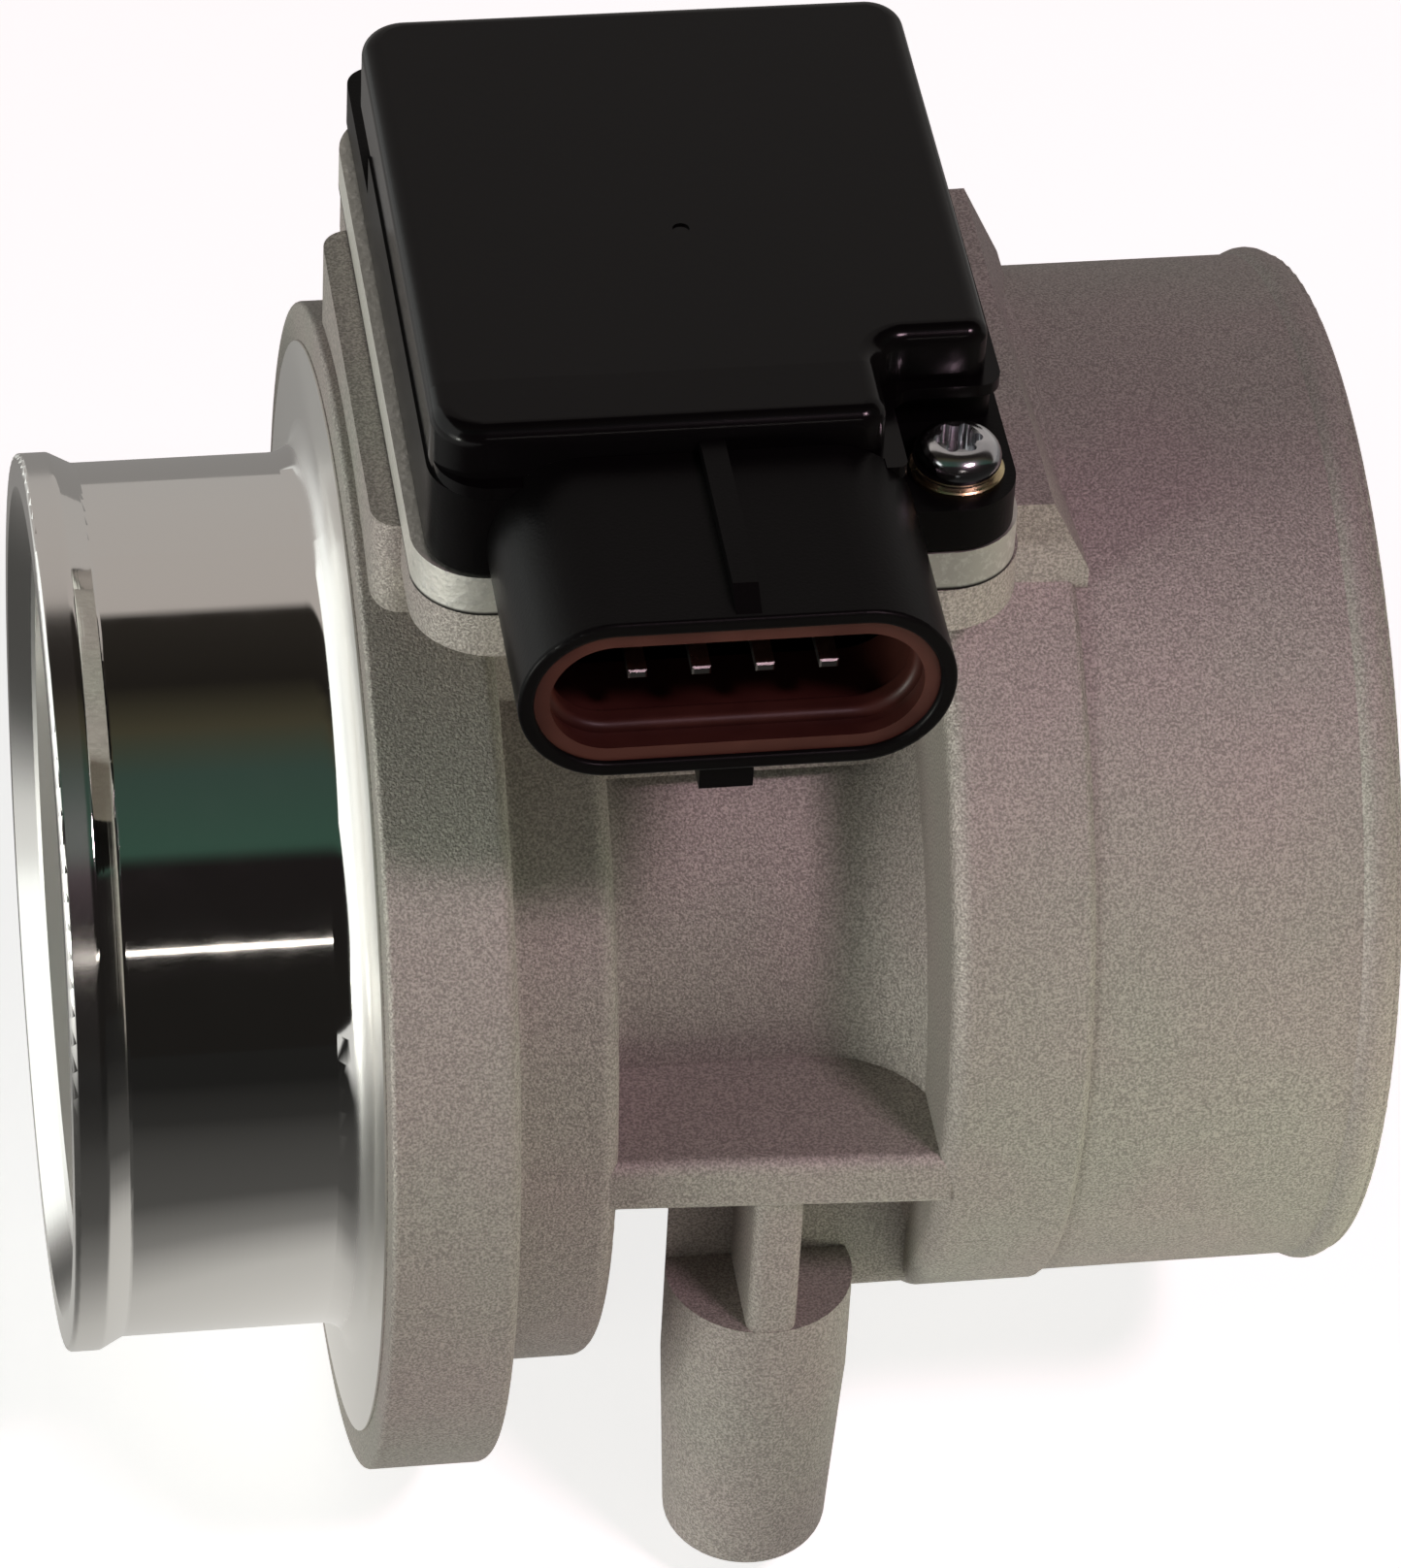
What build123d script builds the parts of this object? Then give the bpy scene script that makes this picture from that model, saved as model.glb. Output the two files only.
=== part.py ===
"""Hot-wire mass airflow sensor with a die-cast duct and a bolted electronics module.

Millimetres. X runs along the duct from the outlet spigot to the inlet, Y to the rear,
Z up. The origin is on the outlet axis, in the plane of the flange's machined face.
The inlet bore sits higher than the outlet bore, to make room for the bypass channel.
"""

import os

from build123d import *

# Outlet side, about the outlet axis
outlet_spigot_radius = 38.1
outlet_bead_radius = 39.15
outlet_bead_width = 2.8
outlet_cone_width = 2.0
outlet_length = 24.9
outlet_bore_radius = 34.0
outlet_lip_chamfer = 2.3
bead_end_radius = 0.5
bead_cone_radius = 0.6
flange_radius = 51.1
flange_thickness = 11.0
flange_rim_width = 3.4
flange_rim_step = 0.25
flange_edge_radius = 1.2
flange_face_edge_radius = 0.5
flange_root_radius = 1.3
spigot_root_radius = 2.8
drum_radius = 42.4
drum_length = 20.4
drum_edge_radius = 1.7

# Throat between the two ends
pocket_width = 27.0
throat_bore_radius = 26.5
throat_wall = 3.5
throat_root_radius = 2.5
throat_flare_width = 8.9
throat_flare_rise = 5.4
diffuser_start = 2.0
diffuser_end = 27.0
bell_start = 40.0
bell_step = 0.4

# Inlet side, about the raised inlet axis
inlet_offset = 8.86
inlet_shoulder_radius = 44.65
inlet_shoulder_width = 11.5
inlet_duct_radius = 44.04
inlet_duct_length = 26.5
inlet_bore_radius = 40.0
inlet_wall_thickness = 3.0
inlet_bead_rise = 0.57
inlet_bead_section = 2.0
inlet_edge_radius = 1.8
inlet_step_width = 0.5
inlet_step_radius = 0.4
inlet_end_radius = 0.5
inlet_floor_radius = 4.0

# Bypass channel over the throat
bypass_radius = 5.2
bypass_height = 39.4
bypass_outlet_radius = 4.5
bypass_end_margin = 8.2

# Flow screen in the inlet
screen_seat_depth = 6.8
screen_seat_step = 1.2
screen_thickness = 2.0
screen_frame_width = 2.6
screen_bar_width = 0.8
screen_pitch = 7.4
screen_bar_count = 9
ring_groove_depth = 1.1
ring_thickness = 1.4
ring_width = 3.0
ring_gap = 9.0
ring_lug_width = 4.4
ring_lug_height = 1.9
ring_eye_hole_radius = 0.9

# Cast saddle, pad, neck and mid web
module_center_x = 28.1
pad_left = 3.5
pad_right = 53.2
pad_depth = 65.0
pad_thickness = 4.2
pad_top = 55.8
pad_corner_radius = 6.8
saddle_left = 1.2
saddle_right = 57.0
saddle_left_half_depth = 20.3
saddle_right_half_depth = 22.2
saddle_slope_width = 3.4
saddle_slope_height = 7.0
saddle_corner_radius = 2.4
neck_half_depth = 19.0
web_top = 3.4
web_bottom = -1.9
web_left_half_depth = 42.1
web_right_half_depth = 43.75
web_edge_radius = 1.3

# Bracket post under the mid web
post_x = 34.3
post_y = -34.0
post_radius = 8.1
post_tip_radius = 7.1
post_bottom = -47.0
post_taper_top = -27.0
post_top = -17.0
post_edge_radius = 1.7
post_hole_radius = 2.5
post_hole_depth = 14.0
post_scoop_back = -32.0
gusset_bottom = -23.4
gusset_back = -20.0
gusset_edge_radius = 3.0
post_rib_width = 4.3
post_rib_front = -42.0
post_rib_bottom = -19.0
post_rib_radius = 1.2

# Module stack on the pad
plate_length = 49.4
plate_depth = 64.8
plate_thickness = 3.8
plate_corner_radius = 6.0
base_seal_thickness = 0.4
base_seal_inset = 1.2
ear_length = 47.8
ear_thickness = 4.0
ear_center_x = 28.3
ear_front_radius = 5.0
ear_rear_radius = 2.5
wall_height = 3.7
wall_thickness = 3.2
lid_rim_thickness = 1.1
lid_front_height = 4.55
lid_crease_height = 4.85
lid_rear_height = 5.4
lid_crease_y = -24.8
lid_shell = 1.7
lid_edge_radius = 1.6
gate_mark_x = 27.6
gate_mark_y = -6.2
gate_mark_radius = 0.7
gate_mark_depth = 0.25

# Plan of the housing wall and the lid, with the notch over the front ear
wall_left = 4.4
wall_left_recess = 1.0
wall_recess_y = 14.5
wall_right = 51.4
wall_rear = 24.8
wall_front = -32.5
wall_notch_x = 40.6
wall_notch_y = -20.8
rim_left = 4.8
rim_right = 51.8
rim_rear = 26.4
rim_front = -32.6
rim_notch_x = 42.4
rim_notch_y = -22.6
rim_rear_notch_x = 16.4
rim_rear_notch_y = 24.9
cover_left = 4.6
cover_right = 50.65
cover_rear = 25.4
cover_front = -31.4
cover_notch_x = 40.9
cover_notch_y = -21.6

# Corner radii of these plans, from the front left corner round by the notch
wall_radii = [5.0, 1.5, 4.0, 1.5, 4.0, 4.0, 0.4, 0.4]
cavity_radii = [2.0, 1.0, 4.0, 1.0, 2.0, 2.0]
rim_radii = [4.5, 0.8, 2.4, 2.0, 4.0, 0.6, 0.6, 4.0]
cover_radii = [4.2, 2.2, 3.0, 1.8, 3.2, 3.8]

# Lid joint
groove_width = 1.4
groove_depth = 1.5
tongue_clearance = 0.2
tongue_length = 1.0

# Fixings
front_screw_x = 47.4
front_screw_y = -27.2
rear_screw_x = 11.0
rear_screw_y = 28.9
screw_shank_radius = 2.0
screw_length = 12.2
screw_head_radius = 3.5
screw_head_height = 2.7
screw_crown_radius = 1.9
screw_star_radius = 1.5
screw_star_lobe_radius = 0.5
screw_star_depth = 1.4
screw_head_edge = 0.4
screw_tip_chamfer = 0.5
washer_radius = 3.9
washer_thickness = 0.5
washer_hole_radius = 2.15
washer_chamfer = 0.12
bushing_radius = 3.3
bushing_hole_radius = 2.3
thread_clearance = 0.02

# Connector
shroud_center_x = 26.05
shroud_center_z = 62.9
shroud_width = 34.6
shroud_height = 15.2
shroud_mouth_y = -52.6
shroud_wall = 1.3
shroud_mouth_radius = 0.4
socket_depth = 16.0
seal_depth = 11.0
seal_recess = 0.5
seal_wall = 0.9
seal_face_width = 1.2
seal_face_wall = 1.25
seal_lip_start = 2.3
seal_lip_width = 2.3
seal_lip_wall = 1.75
seal_lip_radius = 0.7
terminal_pitch = 5.03
terminal_center_x = 26.1
terminal_width = 1.5
terminal_thickness = 0.8
terminal_tip_y = -49.4
terminal_tail_y = -24.0
terminal_tip_chamfer = 0.15
shelf_back_y = -22.6
shelf_half_width = 10.5
shelf_clearance = 1.4
front_gap = 0.05
key_rib_x = 26.6
key_rib_width = 2.0
key_rib_height = 1.2
key_rib_slope_start = 3.0
key_rib_slope_end = 0.6
latch_tab_left = 23.4
latch_tab_width = 4.3
latch_tab_height = 2.2
latch_tab_length = 6.0
latch_tab_setback = 0.6
latch_tab_land = 3.6

# Circuit board and its leads
board_length = 37.6
board_depth = 38.0
board_center_y = 2.3
board_thickness = 0.8
chip_length = 8.0
chip_depth = 7.0
chip_height = 1.3
case_taper = 5.0
chip_x = 17.6
chip_y = 14.0
transistor_length = 6.6
transistor_depth = 9.0
transistor_height = 2.4
transistor_x = 39.0
transistor_y = 14.0
transistor_tab_height = 0.6
transistor_case_depth = 6.5
lead_width = 0.9
lead_thickness = 0.25
lead_reach = 5.6
lead_lap = 1.6
lead_shoulder = 0.9
lead_foot = 1.8
lead_bend_radius = 0.8

# Probe in the bypass channel
probe_y = 0.0
probe_stem_radius = 8.5
probe_stem_clearance = 0.1
probe_neck_radius = 6.0
probe_o_ring_width = 2.4
probe_o_ring_depth = 1.6
probe_o_ring_cover = 3.2
probe_o_ring_squeeze = 0.2
probe_o_ring_corner = 0.7
prong_width = 0.8
prong_spacing_x = 3.2
prong_spacing_y = 5.0
prong_top_rise = 0.6
prong_drop = 1.0
element_radius = 0.35
element_bead_radius = 0.55
element_bead_length = 1.6

# Length by which joined solids and cuts run past each other
overlap = 1.0

# Derived places along the duct
x_outlet_end = -outlet_length
x_shoulder = drum_length + pocket_width
x_step = x_shoulder + inlet_shoulder_width
x_inlet_end = x_step + inlet_duct_length
x_inlet_floor = x_shoulder + inlet_wall_thickness
throat_outer_radius = throat_bore_radius + throat_wall
bell_radius = inlet_bore_radius - inlet_offset - bell_step
inlet_axis = Axis((0, 0, inlet_offset), (1, 0, 0))
inlet_plane = Plane((0, 0, inlet_offset), x_dir=(1, 0, 0), z_dir=(0, -1, 0))

# Derived heights of the stack
plate_top = pad_top + plate_thickness
ear_bottom = plate_top + base_seal_thickness
ear_top = ear_bottom + ear_thickness
wall_top = ear_top + wall_height
rim_top = wall_top + lid_rim_thickness
head_bottom = ear_top + washer_thickness
screw_places = [(front_screw_x, front_screw_y), (rear_screw_x, rear_screw_y)]

os.makedirs("parts", exist_ok=True)


def write(piece, name):
    """Labels a finished piece and writes its file."""
    piece.label = name
    export_step(piece, f"parts/{name}.step")


# Casting: saddle block, drawn from the side and trimmed to its plan
with BuildPart() as saddle:
    with BuildSketch(Plane.XZ) as saddle_side:
        with BuildLine():
            Polyline(
                (saddle_left, inlet_offset),
                (saddle_left, pad_top),
                (saddle_right, pad_top),
                (saddle_right + saddle_slope_width, pad_top - saddle_slope_height),
                (saddle_right + saddle_slope_width, inlet_offset),
                close=True,
            )
        make_face()
    extrude(amount=pad_depth / 2, both=True)
    with BuildSketch(Plane.XY) as saddle_plan:
        with BuildLine():
            Polyline(
                (saddle_left, -saddle_left_half_depth),
                (saddle_left, saddle_left_half_depth),
                (saddle_right + saddle_slope_width, saddle_right_half_depth),
                (saddle_right + saddle_slope_width, -saddle_right_half_depth),
                close=True,
            )
        make_face()
        fillet(saddle_plan.vertices().group_by(Axis.X)[0], saddle_corner_radius)
    extrude(amount=pad_top, mode=Mode.INTERSECT)
    with BuildSketch(Plane.XY) as saddle_pocket:
        with Locations((drum_length + pocket_width / 2, 0)):
            Rectangle(pocket_width, pad_depth)
    extrude(amount=pad_top - pad_thickness, mode=Mode.SUBTRACT)

# Casting: bracket post
with BuildPart() as post:
    with BuildSketch(Plane.XZ.offset(-post_y)) as post_profile:
        with BuildLine():
            FilletPolyline(
                (post_x, web_bottom),
                (post_x + post_radius, web_bottom),
                (post_x + post_radius, post_taper_top),
                (post_x + post_tip_radius, post_bottom),
                (post_x, post_bottom),
                radius=[0, 0, post_edge_radius],
            )
            Line((post_x, post_bottom), (post_x, web_bottom))
        make_face()
    revolve(axis=Axis((post_x, post_y, 0), (0, 0, 1)))
    # Gusset from the post to the inlet shoulder
    with BuildSketch(Plane.YZ.offset(post_x)) as gusset_side:
        with BuildLine():
            FilletPolyline(
                (post_scoop_back, web_bottom),
                (post_scoop_back, gusset_bottom),
                (gusset_back, gusset_bottom),
                (gusset_back, web_bottom),
                radius=[gusset_edge_radius, 0],
            )
            Line((gusset_back, web_bottom), (post_scoop_back, web_bottom))
        make_face()
    extrude(amount=x_shoulder + overlap - post_x)

    # Scooped front with a rib in the middle
    with BuildSketch(Plane.XY.offset(post_top)) as post_scoop:
        with Locations((post_x, post_scoop_back - post_radius)):
            Rectangle(4 * post_radius, 2 * post_radius)
    extrude(amount=web_bottom - post_top, mode=Mode.SUBTRACT)
    with BuildSketch(Plane.XY.offset(web_bottom)) as post_rib_plan:
        with Locations((post_x, (post_rib_front + gusset_back) / 2)):
            Rectangle(post_rib_width, gusset_back - post_rib_front)
        fillet(post_rib_plan.vertices().group_by(Axis.Y)[0], post_rib_radius)
    extrude(amount=post_rib_bottom - web_bottom)

with BuildPart() as cast_body:
    # Everything that is round about the outlet axis
    with BuildSketch(Plane.XZ) as outlet_profile:
        with BuildLine():
            flare = x_shoulder - throat_flare_width
            FilletPolyline(
                (x_outlet_end, 0),
                (x_outlet_end, outlet_bead_radius),
                (x_outlet_end + outlet_bead_width, outlet_bead_radius),
                (
                    x_outlet_end + outlet_bead_width + outlet_cone_width,
                    outlet_spigot_radius,
                ),
                (0, outlet_spigot_radius),
                (0, flange_radius - flange_rim_width),
                (flange_rim_step, flange_radius - flange_rim_width),
                (flange_rim_step, flange_radius),
                (flange_thickness, flange_radius),
                (flange_thickness, drum_radius),
                (drum_length, drum_radius),
                (drum_length, throat_outer_radius),
                (flare, throat_outer_radius),
                radius=[
                    bead_end_radius,
                    bead_cone_radius,
                    bead_cone_radius,
                    spigot_root_radius,
                    0,
                    0,
                    flange_face_edge_radius,
                    flange_edge_radius,
                    flange_root_radius,
                    drum_edge_radius,
                    throat_root_radius,
                ],
            )
            TangentArc(
                (flare, throat_outer_radius),
                (x_shoulder, throat_outer_radius + throat_flare_rise),
                tangent=(1, 0),
            )
            Polyline(
                (x_shoulder, throat_outer_radius + throat_flare_rise),
                (x_inlet_floor, throat_outer_radius + throat_flare_rise),
                (x_inlet_floor, 0),
                (x_outlet_end, 0),
            )
        make_face()
    revolve(axis=Axis.X)

    # Inlet end, round about the raised axis, with a rolled hose bead
    with BuildSketch(inlet_plane) as inlet_profile:
        with BuildLine():
            FilletPolyline(
                (x_shoulder, 0),
                (x_shoulder, inlet_shoulder_radius),
                (x_step, inlet_shoulder_radius),
                (x_step + inlet_step_width, inlet_duct_radius),
                (x_inlet_end, inlet_duct_radius),
                (x_inlet_end, 0),
                radius=[inlet_edge_radius, inlet_step_radius, 0, inlet_end_radius],
            )
            Line((x_inlet_end, 0), (x_shoulder, 0))
        make_face()
        bead_center = inlet_duct_radius + inlet_bead_rise - inlet_bead_section
        with Locations((x_inlet_end - inlet_bead_section, bead_center)):
            Circle(inlet_bead_section)
    revolve(axis=inlet_axis)

    # Mid web, a little deeper at the inlet end
    with BuildPart(mode=Mode.PRIVATE) as mid_web:
        with BuildSketch(Plane.XY.offset(web_bottom)) as web_plan:
            with BuildLine():
                Polyline(
                    (drum_length - drum_edge_radius, -web_left_half_depth),
                    (x_shoulder + overlap, -web_right_half_depth),
                    (x_shoulder + overlap, web_right_half_depth),
                    (drum_length - drum_edge_radius, web_left_half_depth),
                    close=True,
                )
            make_face()
        extrude(amount=web_top - web_bottom)
        long_edges = mid_web.edges().filter_by(lambda edge: abs(edge.tangent_at(0).X) > 0.9)
        fillet(long_edges, web_edge_radius)
    add(mid_web.part)

    # Neck over the throat, saddle, pad and post
    with BuildSketch(Plane.XY.offset(throat_bore_radius)) as neck_plan:
        with Locations((drum_length + pocket_width / 2, 0)):
            Rectangle(pocket_width + 2 * overlap, 2 * neck_half_depth)
    extrude(amount=pad_top - throat_bore_radius)
    add(saddle.part)
    with BuildSketch(Plane.XY.offset(pad_top - pad_thickness)) as pad_plan:
        with Locations(((pad_left + pad_right) / 2, 0)):
            RectangleRounded(pad_right - pad_left, pad_depth, pad_corner_radius)
    extrude(amount=pad_thickness)
    add(post.part)

    # Main bore: outlet, diffuser, throat and bellmouth
    with BuildSketch(Plane.XZ) as bore_profile:
        with BuildLine():
            lip_radius = outlet_bore_radius + outlet_lip_chamfer
            Polyline(
                (x_outlet_end - overlap, 0),
                (x_outlet_end - overlap, lip_radius),
                (x_outlet_end, lip_radius),
                (x_outlet_end + outlet_lip_chamfer, outlet_bore_radius),
                (diffuser_start, outlet_bore_radius),
            )
            Spline(
                (diffuser_start, outlet_bore_radius),
                (diffuser_end, throat_bore_radius),
                tangents=[(1, 0), (1, 0)],
            )
            Line((diffuser_end, throat_bore_radius), (bell_start, throat_bore_radius))
            TangentArc(
                (bell_start, throat_bore_radius),
                (x_inlet_floor, bell_radius),
                tangent=(1, 0),
            )
            Polyline(
                (x_inlet_floor, bell_radius),
                (x_inlet_floor + overlap, bell_radius),
                (x_inlet_floor + overlap, 0),
                (x_outlet_end - overlap, 0),
            )
        make_face()
    revolve(axis=Axis.X, mode=Mode.SUBTRACT)

    # Inlet bore with the screen seat and the groove of the snap ring
    with BuildSketch(inlet_plane) as inlet_bore_profile:
        with BuildLine():
            seat_radius = inlet_bore_radius + screen_seat_step
            x_seat = x_inlet_end - screen_seat_depth
            x_ring = x_seat + screen_thickness
            FilletPolyline(
                (x_inlet_floor, 0),
                (x_inlet_floor, inlet_bore_radius),
                (x_seat, inlet_bore_radius),
                (x_seat, seat_radius),
                (x_ring, seat_radius),
                (x_ring, seat_radius + ring_groove_depth),
                (x_ring + ring_thickness, seat_radius + ring_groove_depth),
                (x_ring + ring_thickness, seat_radius),
                (x_inlet_end + overlap, seat_radius),
                (x_inlet_end + overlap, 0),
                radius=[inlet_floor_radius, 0, 0, 0, 0, 0, 0, 0],
            )
            Line((x_inlet_end + overlap, 0), (x_inlet_floor, 0))
        make_face()
    revolve(axis=inlet_axis, mode=Mode.SUBTRACT)

    # Bypass: along the neck, then down into the diffuser
    bypass_length = x_inlet_floor + overlap - bypass_end_margin
    with BuildSketch(Plane.YZ.offset(bypass_end_margin)) as bypass_bore:
        with Locations((probe_y, bypass_height)):
            Circle(bypass_radius)
    extrude(amount=bypass_length, mode=Mode.SUBTRACT)
    with BuildSketch(Plane.XY.offset(throat_bore_radius)) as bypass_outlet:
        with Locations((bypass_end_margin + bypass_outlet_radius + overlap, probe_y)):
            Circle(bypass_outlet_radius)
    extrude(amount=bypass_height - throat_bore_radius, mode=Mode.SUBTRACT)

    # Probe bore, screw holes and the hole in the post
    with Locations((module_center_x, probe_y, pad_top)):
        Hole(probe_stem_radius + probe_stem_clearance, depth=pad_top - bypass_height)
    for screw_x, screw_y in screw_places:
        with Locations((screw_x, screw_y, pad_top)):
            Hole(screw_shank_radius + thread_clearance, depth=pad_thickness)
    with Locations(Location((post_x, post_y, post_bottom), (180, 0, 0))):
        Hole(post_hole_radius, depth=post_hole_depth)
write(cast_body.part, "cast_body")

# Flow screen: a frame with crossed bars
screen_radius = inlet_bore_radius + screen_seat_step
screen_plane = Plane((x_seat, 0, inlet_offset), x_dir=(0, 1, 0), z_dir=(1, 0, 0))
with BuildPart() as inlet_screen:
    with BuildSketch(screen_plane) as screen_face:
        with GridLocations(0, screen_pitch, 1, screen_bar_count):
            Rectangle(2 * screen_radius, screen_bar_width)
        with GridLocations(screen_pitch, 0, screen_bar_count, 1):
            Rectangle(screen_bar_width, 2 * screen_radius)
        Circle(screen_radius - screen_frame_width, mode=Mode.INTERSECT)
        with BuildSketch(mode=Mode.PRIVATE) as screen_frame:
            Circle(screen_radius)
            Circle(screen_radius - screen_frame_width, mode=Mode.SUBTRACT)
        add(screen_frame.sketch)
    extrude(amount=screen_thickness)
write(inlet_screen.part, "inlet_screen")

# Snap ring with two eyes
ring_plane = screen_plane.offset(screen_thickness)
ring_radius = screen_radius + ring_groove_depth
with BuildPart() as screen_ring:
    with BuildSketch(ring_plane) as ring_face:
        Circle(ring_radius)
        Circle(ring_radius - ring_width, mode=Mode.SUBTRACT)
        with Locations((0, -ring_radius)):
            Rectangle(ring_gap, 4 * ring_width, mode=Mode.SUBTRACT)
        lug_x = (ring_gap + ring_lug_width) / 2
        lug_y = ring_width - ring_radius
        with Locations((-lug_x, lug_y), (lug_x, lug_y)):
            Rectangle(ring_lug_width, 2 * ring_lug_height)
            Circle(ring_eye_hole_radius, mode=Mode.SUBTRACT)
    extrude(amount=ring_thickness)
write(screen_ring.part, "screen_ring")

# Base plate of the module
with BuildPart() as base_plate:
    with BuildSketch(Plane.XY.offset(pad_top)) as plate_plan:
        with Locations((module_center_x, 0)):
            RectangleRounded(plate_length, plate_depth, plate_corner_radius)
        with Locations((module_center_x, probe_y)):
            Circle(probe_neck_radius, mode=Mode.SUBTRACT)
        with Locations(screw_places):
            Circle(bushing_hole_radius, mode=Mode.SUBTRACT)
    extrude(amount=plate_thickness)
write(base_plate.part, "base_plate")

# Outlines that the housing and the lid share
with BuildSketch() as wall_outline:
    with BuildLine():
        FilletPolyline(
            (wall_left, wall_front),
            (wall_notch_x, wall_front),
            (wall_notch_x, wall_notch_y),
            (wall_right, wall_notch_y),
            (wall_right, wall_rear),
            (wall_left + wall_left_recess, wall_rear),
            (wall_left + wall_left_recess, wall_recess_y),
            (wall_left, wall_recess_y),
            radius=wall_radii,
            close=True,
        )
    make_face()
with BuildSketch() as cavity_outline:
    with BuildLine():
        FilletPolyline(
            (wall_left + wall_left_recess + wall_thickness, wall_front + wall_thickness),
            (wall_notch_x - wall_thickness, wall_front + wall_thickness),
            (wall_notch_x - wall_thickness, wall_notch_y + wall_thickness),
            (wall_right - wall_thickness, wall_notch_y + wall_thickness),
            (wall_right - wall_thickness, wall_rear - wall_thickness),
            (wall_left + wall_left_recess + wall_thickness, wall_rear - wall_thickness),
            radius=cavity_radii,
            close=True,
        )
    make_face()
groove_inset = (wall_thickness - groove_width) / 2
with BuildSketch() as groove_inner:
    add(cavity_outline.sketch)
    offset(amount=groove_inset)
with BuildSketch() as groove_outer:
    add(cavity_outline.sketch)
    offset(amount=groove_inset + groove_width)
with BuildSketch() as rim_outline:
    with BuildLine():
        FilletPolyline(
            (rim_left, rim_front),
            (rim_notch_x, rim_front),
            (rim_notch_x, rim_notch_y),
            (rim_right, rim_notch_y),
            (rim_right, rim_rear),
            (rim_rear_notch_x, rim_rear),
            (rim_rear_notch_x, rim_rear_notch_y),
            (rim_left, rim_rear_notch_y),
            radius=rim_radii,
            close=True,
        )
    make_face()
with BuildSketch() as cover_outline:
    with BuildLine():
        FilletPolyline(
            (cover_left, cover_front),
            (cover_notch_x, cover_front),
            (cover_notch_x, cover_notch_y),
            (cover_right, cover_notch_y),
            (cover_right, cover_rear),
            (cover_left, cover_rear),
            radius=cover_radii,
            close=True,
        )
    make_face()

# Gasket between plate and housing
seal_length = plate_length - 2 * base_seal_inset
seal_span = plate_depth - 2 * base_seal_inset
with BuildPart() as base_seal:
    with BuildSketch(Plane.XY.offset(plate_top)) as seal_plan:
        with Locations((module_center_x, 0)):
            RectangleRounded(seal_length, seal_span, plate_corner_radius - base_seal_inset)
        add(cavity_outline.sketch, mode=Mode.SUBTRACT)
        with Locations(screw_places):
            Circle(bushing_radius, mode=Mode.SUBTRACT)
    extrude(amount=base_seal_thickness)
write(base_seal.part, "base_seal")

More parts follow.
